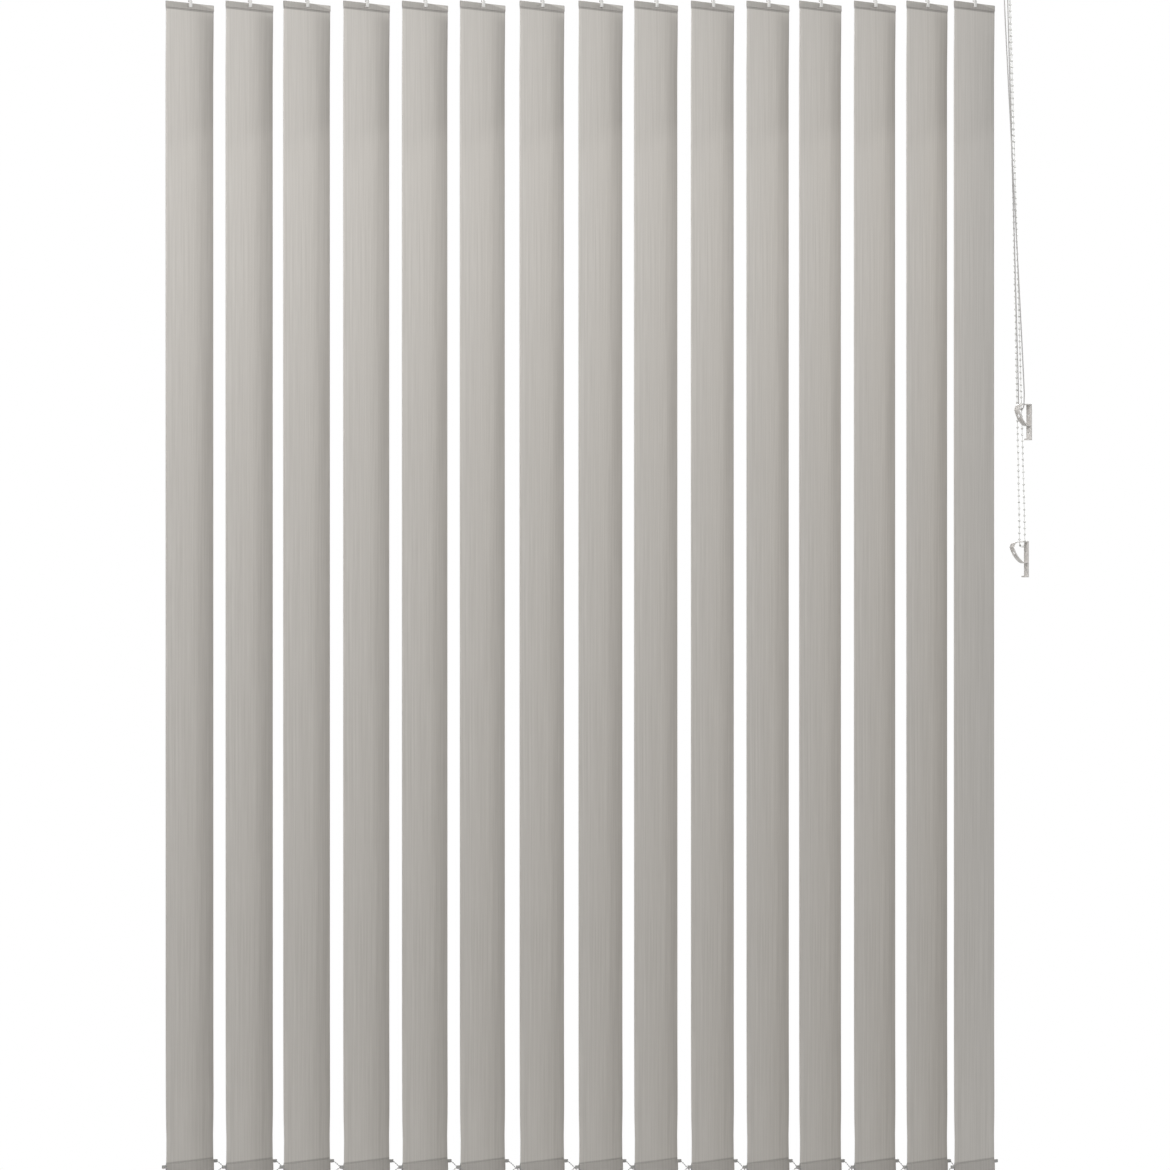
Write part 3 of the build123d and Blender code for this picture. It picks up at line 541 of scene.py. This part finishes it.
def fabric_material():
    """A coated weave: fine upright yarns, finer cross yarns, doubled pockets and their welds, with painted
    shade on the pockets and a painted shadow of the rail over the top.
    """
    material = bpy.data.materials.new("vane_weave")
    material.use_nodes = True
    tree = material.node_tree
    link = tree.links.new
    shader = tree.nodes["Principled BSDF"]
    shader.inputs["Sheen Weight"].default_value = 0.10
    shader.inputs["Sheen Roughness"].default_value = 0.5
    shader.inputs["Specular IOR Level"].default_value = 0.2

    # Upright yarns and slubs give the tone, and cross yarns are finer
    cloth = node(tree, "ShaderNodeUVMap", uv_map="cloth")
    yarn_place = node(tree, "ShaderNodeMapping", {"Scale": (620.0, 9.0, 1.0)})
    slub_place = node(tree, "ShaderNodeMapping", {"Scale": (240.0, 3.0, 1.0)})
    cross_place = node(tree, "ShaderNodeMapping", {"Scale": (90.0, 1500.0, 1.0)})
    yarn = node(tree, "ShaderNodeTexNoise", {"Scale": 1.0, "Detail": 2.0, "Roughness": 0.6})
    slub = node(tree, "ShaderNodeTexNoise", {"Scale": 1.0, "Detail": 1.0, "Roughness": 0.5})
    cross = node(tree, "ShaderNodeTexNoise", {"Scale": 1.0, "Detail": 1.0, "Roughness": 0.5})
    for place, texture in ((yarn_place, yarn), (slub_place, slub), (cross_place, cross)):
        link(cloth.outputs["UV"], place.inputs["Vector"])
        link(place.outputs["Vector"], texture.inputs["Vector"])
    both = node(tree, "ShaderNodeMath", operation="ADD")
    link(yarn.outputs["Fac"], both.inputs[0])
    link(slub.outputs["Fac"], both.inputs[1])
    tone = node(tree, "ShaderNodeMapRange", {"From Min": 0.7, "From Max": 1.3})
    link(both.outputs["Value"], tone.inputs["Value"])
    colour = node(tree, "ShaderNodeMix", data_type="RGBA")
    colour.inputs["A"].default_value = (*fabric_dark, 1)
    colour.inputs["B"].default_value = (*fabric_light, 1)
    link(tone.outputs["Result"], colour.inputs["Factor"])

    # Painted shade on the pockets, where the doubled cloth and what it holds let less light through, and
    # darker welds, found by how far along the cloth they lie
    profile = vane_profile()
    run = run_lengths(profile)
    sheet_start = run[profile.index((0, top_weld[1]))] * MM
    sheet_end = run[profile.index((0, bottom_weld[0]))] * MM
    weld = (top_weld[0] - top_weld[1]) * MM
    parts = node(tree, "ShaderNodeSeparateXYZ")
    link(cloth.outputs["UV"], parts.inputs["Vector"])
    along = parts.outputs["Y"]

    # The painted shade of the top pocket is left off past the hanger's cut corner, so the pocket is lighter
    # at one end
    fold = run[max(range(len(profile)), key=lambda row: profile[row][1])] * MM
    from_fold = node(tree, "ShaderNodeMath", {1: fold}, operation="SUBTRACT")
    below_fold = node(tree, "ShaderNodeMath", operation="ABSOLUTE")
    cut = node(tree, "ShaderNodeMath", {1: corner_slope, 2: -corner_slope * corner_start * MM},
               operation="MULTIPLY_ADD")
    inside = node(tree, "ShaderNodeMath", operation="SUBTRACT")
    filled = node(tree, "ShaderNodeMapRange", {"From Min": -corner_softness * MM,
                                               "From Max": corner_softness * MM})
    pocket = node(tree, "ShaderNodeMath", operation="MULTIPLY")
    link(along, from_fold.inputs[0])
    link(from_fold.outputs["Value"], below_fold.inputs[0])
    link(parts.outputs["X"], cut.inputs[0])
    link(below_fold.outputs["Value"], inside.inputs[0])
    link(cut.outputs["Value"], inside.inputs[1])
    link(inside.outputs["Value"], filled.inputs["Value"])
    link(band(tree, along, before_cloth, sheet_start, pocket_softness * MM), pocket.inputs[0])
    link(filled.outputs["Result"], pocket.inputs[1])
    shown = darker(tree, colour.outputs["Result"], pocket.outputs["Value"], top_pocket_shade)
    low_pocket = band(tree, along, sheet_end, after_cloth, pocket_softness * MM)
    shown = darker(tree, shown, low_pocket, low_pocket_shade)
    upper_weld = band(tree, along, sheet_start - weld, sheet_start, weld_softness * MM)
    shown = darker(tree, shown, upper_weld, weld_shade)
    lower_weld = band(tree, along, sheet_end, sheet_end + weld, weld_softness * MM)
    shown = darker(tree, shown, lower_weld, weld_shade / 2)

    # A painted shadow of the rail: a soft darker stretch under it, with a slanted end, darker towards one
    # side
    slant = node(tree, "ShaderNodeMath", {1: shade_slant}, operation="MULTIPLY")
    level = node(tree, "ShaderNodeMath", operation="ADD")
    link(parts.outputs["X"], slant.inputs[0])
    link(slant.outputs["Value"], level.inputs[0])
    link(along, level.inputs[1])
    shade_end = sheet_start + shade_depth * MM
    above = band(tree, level.outputs["Value"], before_cloth, shade_end, shade_softness * MM)
    edge = vane_width / 2 * MM
    side = node(tree, "ShaderNodeMapRange", {"From Min": -edge, "From Max": edge,
                                             "To Min": shade_left, "To Max": shade_right})
    shade = node(tree, "ShaderNodeMath", operation="MULTIPLY")
    link(parts.outputs["X"], side.inputs["Value"])
    link(above, shade.inputs[0])
    link(side.outputs["Result"], shade.inputs[1])
    shown = darker(tree, shown, shade.outputs["Value"], 1.0)
    link(shown, shader.inputs["Base Color"])

    rough = node(tree, "ShaderNodeMapRange", {"To Min": 0.72, "To Max": 0.9})
    link(cross.outputs["Fac"], rough.inputs["Value"])
    link(rough.outputs["Result"], shader.inputs["Roughness"])
    relief = node(tree, "ShaderNodeMath", operation="ADD")
    link(yarn.outputs["Fac"], relief.inputs[0])
    link(cross.outputs["Fac"], relief.inputs[1])
    bump = node(tree, "ShaderNodeBump", {"Strength": 0.3, "Distance": 0.0003})
    link(relief.outputs["Value"], bump.inputs["Height"])
    link(bump.outputs["Normal"], shader.inputs["Normal"])
    return material


def cord_material():
    """Braided polyester: small strands in relief, with painted shade between them."""
    material = bpy.data.materials.new("braided_cord")
    material.use_nodes = True
    tree = material.node_tree
    link = tree.links.new
    shader = tree.nodes["Principled BSDF"]
    shader.inputs["Specular IOR Level"].default_value = 0.3
    place = node(tree, "ShaderNodeTexCoord")
    strands = node(tree, "ShaderNodeTexVoronoi", {"Scale": 1500.0, "Randomness": 0.6})
    # Painted shade: the colour darkens between the strands
    colour = node(tree, "ShaderNodeMix", data_type="RGBA")
    colour.inputs["A"].default_value = (0.50, 0.49, 0.48, 1)
    colour.inputs["B"].default_value = (0.26, 0.25, 0.25, 1)
    rough = node(tree, "ShaderNodeMapRange", {"To Min": 0.7, "To Max": 0.9})
    bump = node(tree, "ShaderNodeBump", {"Strength": 0.6, "Distance": 0.0002})
    bump.invert = True
    link(place.outputs["Object"], strands.inputs["Vector"])
    link(strands.outputs["Distance"], colour.inputs["Factor"])
    link(strands.outputs["Distance"], rough.inputs["Value"])
    link(strands.outputs["Distance"], bump.inputs["Height"])
    link(colour.outputs["Result"], shader.inputs["Base Color"])
    link(rough.outputs["Result"], shader.inputs["Roughness"])
    link(bump.outputs["Normal"], shader.inputs["Normal"])
    return material


# Vanes
def vane_profile():
    """The cloth's line in (Y, Z): up the back of the top pocket, down the front, round the bottom one."""
    lay = fabric_thickness
    top = top_pocket_half - lay / 2
    low = bottom_pocket_half - lay / 2
    crown = vane_top - lay / 2 - top
    foot = vane_bottom + lay / 2 + low
    low_rows = [(low, z) for z in low_pocket_rows]
    line = [(lay, top_weld[1]), (lay, top_weld[0] - top_seam_step), (top, top_weld[0])]
    line += [(top, slot_bottom), (top, slot_top), (top, crown)]
    for step in (45, 90, 135):
        angle = math.radians(step)
        line.append((top * math.cos(angle), crown + top * math.sin(angle)))
    line += [(-top, crown), (-top, slot_top), (-top, slot_bottom), (-top, top_weld[0])]
    line += [(0, top_weld[0] - top_seam_step), (0, top_weld[1])]
    high = top_weld[1] - sheet_below_top_weld
    deep = bottom_weld[0] + sheet_above_low_weld
    line += [(0, high + (deep - high) * row / cloth_rows) for row in range(cloth_rows + 1)]
    line += [(0, bottom_weld[0]), (0, bottom_weld[1] + low_seam_step), (-low, bottom_weld[1])]
    line += [(-y, z) for y, z in low_rows] + [(-low, foot)]
    for step in (225, 270, 315):
        angle = math.radians(step)
        line.append((low * math.cos(angle), foot + low * math.sin(angle)))
    line += [(low, foot), *reversed(low_rows), (low, bottom_weld[1])]
    line += [(lay, bottom_weld[1] + low_seam_step), (lay, bottom_weld[0])]
    return line


def run_lengths(line):
    """How far along a line of points each of them lies."""
    lengths = [0.0]
    for first, second in zip(line, line[1:]):
        lengths.append(lengths[-1] + math.dist(first, second))
    return lengths


def from_none_to_all(value):
    """The value itself, or 0 or 1 where it lies outside them."""
    return max(0.0, min(1.0, value))


def vane_cloth():
    """One length of cloth folded into a pocket at each end, slightly bowed and waisted."""
    right_half = [slot_half_width, *column_places, vane_width / 2]
    columns = [-place for place in reversed(right_half)] + right_half
    profile = vane_profile()
    bm = bmesh.new()
    cloth = bm.loops.layers.uv.new("cloth")
    row_of = bm.verts.layers.int.new("row")
    verts = []
    for row, (y, z) in enumerate(profile):
        vert = bm.verts.new((columns[0], y, z))
        vert[row_of] = row
        verts.append(vert)
    edges = [bm.edges.new(pair) for pair in zip(verts, verts[1:])]
    for left, right in zip(columns, columns[1:]):
        made = bmesh.ops.extrude_edge_only(bm, edges=edges)["geom"]
        edges = [item for item in made if isinstance(item, bmesh.types.BMEdge)]
        moved = [item for item in made if isinstance(item, bmesh.types.BMVert)]
        bmesh.ops.translate(bm, verts=moved, vec=(right - left, 0, 0))
        edges = [edge for edge in edges if all(abs(vert.co.x - right) < same_place for vert in edge.verts)]
    slot = [face for face in bm.faces
            if abs(face.calc_center_median().x) < slot_half_width
            and face.calc_center_median().y < -top_pocket_half / 2
            and slot_bottom < face.calc_center_median().z < slot_top]
    bmesh.ops.delete(bm, geom=slot, context="FACES")
    lengths = run_lengths(profile)
    for face in bm.faces:
        for loop in face.loops:
            loop[cloth].uv = (loop.vert.co.x * MM, lengths[loop.vert[row_of]] * MM)
    for vert in bm.verts:
        u, n, z = vert.co
        free = from_none_to_all((top_weld[1] - z) / free_below_top)
        free *= from_none_to_all((z - bottom_weld[0]) / free_above_low)
        free = free * free * (3 - 2 * free)
        depth = (top_weld[1] - z) / (top_weld[1] - bottom_weld[0])
        deepest = free * (vane_bow + (vane_bow_low - vane_bow) * depth)
        bow = deepest * (0.5 - (1 - (2 * u / vane_width) ** 2))
        nearness = math.exp(-((z - waist_z) / waist_reach) ** 2)
        narrow = 1 - 2 * waist_depth * nearness / vane_width
        vert.co = (u * narrow * MM, (n + bow) * MM, z * MM)
    bmesh.ops.recalc_face_normals(bm, faces=bm.faces)
    return bm


def in_top_half(place):
    """Whether a point belongs to the hook and hanger."""
    return place.z > vane_bottom / 2 * MM


def in_bottom_half(place):
    """Whether a point belongs to the bottom weight."""
    return not in_top_half(place)


def build_vanes(material, fitting, weight_plastic):
    """Each vane's cloth, its hook, hanger and weight, and the knobs that hold the chains."""
    pattern = bpy.data.meshes.new("vane_pattern")
    bm = vane_cloth()
    bm.to_mesh(pattern)
    bm.free()
    for index, x in enumerate(vane_x):
        number = f"{index + 1:02d}"
        body = f"hung_vane_{number}"
        fittings = softened(f"hook_and_hanger_{number}", f"vane_fittings_{number}", fitting_edge, fitting,
                            body, keep=in_top_half)
        weight = softened(f"bottom_weight_{number}", f"vane_fittings_{number}", fitting_edge,
                          weight_plastic, body, keep=in_bottom_half)
        mesh = pattern.copy()
        mesh.transform(hung(x))
        vane = piece_of_mesh(f"fabric_vane_{number}", mesh, material, body,
                             replaced=[f"vane_{number}"], smooth_below=50.0)
        shell = vane.modifiers.new("cloth_thickness", "SOLIDIFY")
        shell.thickness = fabric_thickness * MM
        shell.offset = 0.0
        knobs = bmesh.new()
        for side in (-1, 1):
            place = hung(x) @ Matrix.Translation(Vector((side * knob_u, 0, knob_z)) * MM)
            size = Matrix.Diagonal((*[edge * MM for edge in knob_size], 1))
            bmesh.ops.create_cube(knobs, size=1.0, matrix=place @ size)
        bmesh.ops.bevel(knobs, geom=knobs.edges[:], offset=knob_edge * MM, segments=4, affect="EDGES",
                        profile=0.5, material=-1)
        new_piece(f"chain_knobs_{number}", knobs, weight_plastic, body)


# Stage
def build_camera():
    """Level, at the height of the photo's horizon, with the view shifted down."""
    data = bpy.data.cameras.new("camera")
    data.sensor_width = sensor_width
    data.lens = sensor_width * camera_distance / frame_width_at_vanes
    data.shift_y = -frame_drop
    data.clip_end = 100.0
    camera = bpy.data.objects.new("camera", data)
    camera.location = (0, -camera_distance, camera_height)
    camera.rotation_euler = (math.pi / 2, 0, 0)
    scene.collection.objects.link(camera)
    scene.camera = camera


def seen_directly(tree):
    """A value of 1 on camera, glossy and transmission rays and 0 on the light that falls on things."""
    path = node(tree, "ShaderNodeLightPath")
    first = node(tree, "ShaderNodeMath", operation="ADD", use_clamp=True)
    second = node(tree, "ShaderNodeMath", operation="ADD", use_clamp=True)
    tree.links.new(path.outputs["Is Camera Ray"], first.inputs[0])
    tree.links.new(path.outputs["Is Glossy Ray"], first.inputs[1])
    tree.links.new(first.outputs["Value"], second.inputs[0])
    tree.links.new(path.outputs["Is Transmission Ray"], second.inputs[1])
    return second.outputs["Value"]


def build_world(level):
    """White where it is seen, and an even soft light of a lower level elsewhere."""
    world = bpy.data.worlds.new("white_room")
    scene.world = world
    world.use_nodes = True
    tree = world.node_tree
    tree.nodes.clear()
    seen = node(tree, "ShaderNodeBackground", {"Color": (1, 1, 1, 1), "Strength": 1.0})
    light = node(tree, "ShaderNodeBackground", {"Color": (1, 1, 1, 1), "Strength": level})
    mix = node(tree, "ShaderNodeMixShader")
    end = node(tree, "ShaderNodeOutputWorld")
    tree.links.new(seen_directly(tree), mix.inputs["Fac"])
    tree.links.new(light.outputs["Background"], mix.inputs[1])
    tree.links.new(seen.outputs["Background"], mix.inputs[2])
    tree.links.new(mix.outputs["Shader"], end.inputs["Surface"])


def build_floor():
    """A pale floor under the vanes that turns to plain white away from them."""
    bm = bmesh.new()
    bmesh.ops.create_grid(bm, x_segments=8, y_segments=8, size=floor_size,
                          matrix=Matrix.Translation((0, 0, floor_z)))
    mesh = bpy.data.meshes.new("floor")
    bm.to_mesh(mesh)
    bm.free()
    floor = bpy.data.objects.new("floor", mesh)
    scene.collection.objects.link(floor)
    material = bpy.data.materials.new("pale_floor")
    mesh.materials.append(material)
    material.use_nodes = True
    tree = material.node_tree
    link = tree.links.new
    shader = tree.nodes["Principled BSDF"]
    shader.inputs["Base Color"].default_value = (0.82, 0.82, 0.81, 1)
    shader.inputs["Roughness"].default_value = 0.8
    place = node(tree, "ShaderNodeTexCoord")
    centred = node(tree, "ShaderNodeMapping", {"Scale": (0.85, 1.35, 0.0)})
    length = node(tree, "ShaderNodeVectorMath", operation="LENGTH")
    fade = node(tree, "ShaderNodeMapRange", {"From Min": 0.55, "From Max": 1.1},
                interpolation_type="SMOOTHSTEP")
    seen = node(tree, "ShaderNodeMath", operation="MULTIPLY")
    white = node(tree, "ShaderNodeEmission", {"Color": (1, 1, 1, 1), "Strength": 1.0})
    mix = node(tree, "ShaderNodeMixShader")
    link(place.outputs["Object"], centred.inputs["Vector"])
    link(centred.outputs["Vector"], length.inputs[0])
    link(length.outputs["Value"], fade.inputs["Value"])
    link(fade.outputs["Result"], seen.inputs[0])
    link(seen_directly(tree), seen.inputs[1])
    link(seen.outputs["Value"], mix.inputs["Fac"])
    link(shader.outputs["BSDF"], mix.inputs[1])
    link(white.outputs["Emission"], mix.inputs[2])
    link(mix.outputs["Shader"], tree.nodes["Material Output"].inputs["Surface"])


def sun_lamp(name, side, height, strength, softness):
    """An even light from far away: its angles from the front and above level, in degrees."""
    data = bpy.data.lights.new(name, "SUN")
    data.energy = strength
    data.angle = math.radians(softness)
    lamp = bpy.data.objects.new(name, data)
    lamp.rotation_euler = (math.radians(90 - height), 0, math.radians(side))
    scene.collection.objects.link(lamp)


def soft_lamp(name, place, target, size, power):
    """A large lamp, wide and high as given, that faces a point."""
    data = bpy.data.lights.new(name, "AREA")
    data.shape = "RECTANGLE"
    data.size, data.size_y = size
    data.energy = power
    lamp = bpy.data.objects.new(name, data)
    lamp.location = place
    lamp.rotation_euler = (Vector(target) - Vector(place)).to_track_quat("-Z", "Y").to_euler()
    scene.collection.objects.link(lamp)


scene.view_settings.view_transform = "Standard"
build_camera()
build_world(room_light)
build_floor()
sun_lamp("front_light", side=2.0, height=12.0, strength=0.66, softness=14.0)
soft_lamp("top_strip", place=(0.1, -2.3, 0.6), target=(0.1, 0, -0.35), size=(4.2, 0.5), power=78.0)
soft_lamp("back_lamp", place=(1.0, 3.4, 0.4), target=(0, 0, -1.1), size=(3.4, 2.6), power=120.0)

# Finishes
grain = grain_group()
weave = fabric_material()
braid = cord_material()
rail_paint = finish("rail_paint", grain, (0.80, 0.80, 0.79), (0.76, 0.76, 0.75), rough=(0.32, 0.42),
                    relief=0.12, scale=1600.0)
bracket_zinc = finish("bracket_zinc", grain, (0.62, 0.62, 0.63), (0.50, 0.50, 0.52), rough=(0.25, 0.42),
                      relief=0.08, scale=500.0, Metallic=1.0)
housing_plastic = finish("housing_plastic", grain, (0.82, 0.82, 0.80), (0.78, 0.78, 0.76), rough=(0.34, 0.46),
                         relief=0.14)
truck_plastic = finish("truck_plastic", grain, (0.68, 0.68, 0.67), (0.62, 0.62, 0.61), rough=(0.38, 0.5),
                       relief=0.14)
rod_metal = finish("rod_metal", grain, (0.74, 0.74, 0.75), (0.66, 0.66, 0.68), rough=(0.22, 0.4), relief=0.1,
                   scale=60.0, stretch=(0.4, 30, 30), Metallic=1.0)
fitting_plastic = finish("fitting_plastic", grain, (0.66, 0.65, 0.64), (0.60, 0.59, 0.58), rough=(0.36, 0.48),
                         relief=0.12)
bead_plastic = finish("bead_plastic", grain, (0.64, 0.64, 0.62), (0.56, 0.56, 0.54), rough=(0.25, 0.36),
                      relief=0.06)
link_plastic = finish("link_plastic", grain, (0.36, 0.36, 0.35), (0.28, 0.28, 0.27), rough=(0.3, 0.42),
                      relief=0.06)
clip_plastic = finish("clip_plastic", grain, (0.60, 0.58, 0.56), (0.54, 0.52, 0.50), rough=(0.18, 0.3),
                      relief=0.05)

# The pieces
tilt_line_piece, tilt_line = bead_chain("bead_chain", tilt_chain_route(), bead_thread, bead_diameter,
                                        bead_pitch, bead_plastic, "headrail_assembly", "tilt_chain")

cord_curve = route_curve("traverse_cord_braid", traverse_cord_route())
cord_curve.bevel_depth = cord_diameter / 2 * MM
cord_curve.bevel_resolution = 3
cord_curve.use_fill_caps = True
cord_curve.materials.append(braid)
cord = bpy.data.objects.new("traverse_cord_braid", cord_curve)
scene.collection.objects.link(cord)
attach(cord, "headrail_assembly")
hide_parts("traverse_cord")

for side, name in ((-1, "front"), (1, "back")):
    chain, line = bead_chain(f"{name}_small_chain", stabiliser_route(side), small_thread, small_bead,
                             small_bead_pitch, link_plastic, f"{name}_stabiliser", f"{name}_chain")
    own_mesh(chain)

build_vanes(weave, fitting_plastic, link_plastic)
for index in range(vane_count):
    number = f"{index + 1:02d}"
    truck_body = "headrail_assembly" if index == vane_count - 1 else f"carrier_{number}"
    softened(f"moulded_truck_{number}", f"truck_{number}", plain_edge, truck_plastic,
             truck_body)
softened("extruded_rail", "headrail", plain_edge, rail_paint, "headrail_assembly")
softened("spring_brackets", "ceiling_brackets", plain_edge, bracket_zinc,
         "headrail_assembly")
softened("moulded_control_end", "control_housing", housing_edge, housing_plastic,
         "headrail_assembly")
softened("moulded_return_end", "return_end_cap", housing_edge, housing_plastic,
         "headrail_assembly")
softened("extruded_tilt_rod", "tilt_rod", thin_edge, rod_metal, "tilt_shaft")
softened("moulded_chain_wheel", "chain_wheel", thin_edge, truck_plastic, "tilt_shaft")
softened("front_sheave", "cord_pulley_front", fine_edge, truck_plastic, "front_cord_pulley")
softened("back_sheave", "cord_pulley_back", fine_edge, truck_plastic, "back_cord_pulley")
softened("return_sheave", "return_pulley", fine_edge, truck_plastic, "return_cord_pulley")
softened("cord_p_clip", "cord_clip", clip_edge, clip_plastic, "headrail_assembly",
         shape=rounder_loop(cord_clip))
softened("chain_p_clip", "chain_clip", clip_edge, clip_plastic, "headrail_assembly",
         shape=rounder_loop(chain_clip))
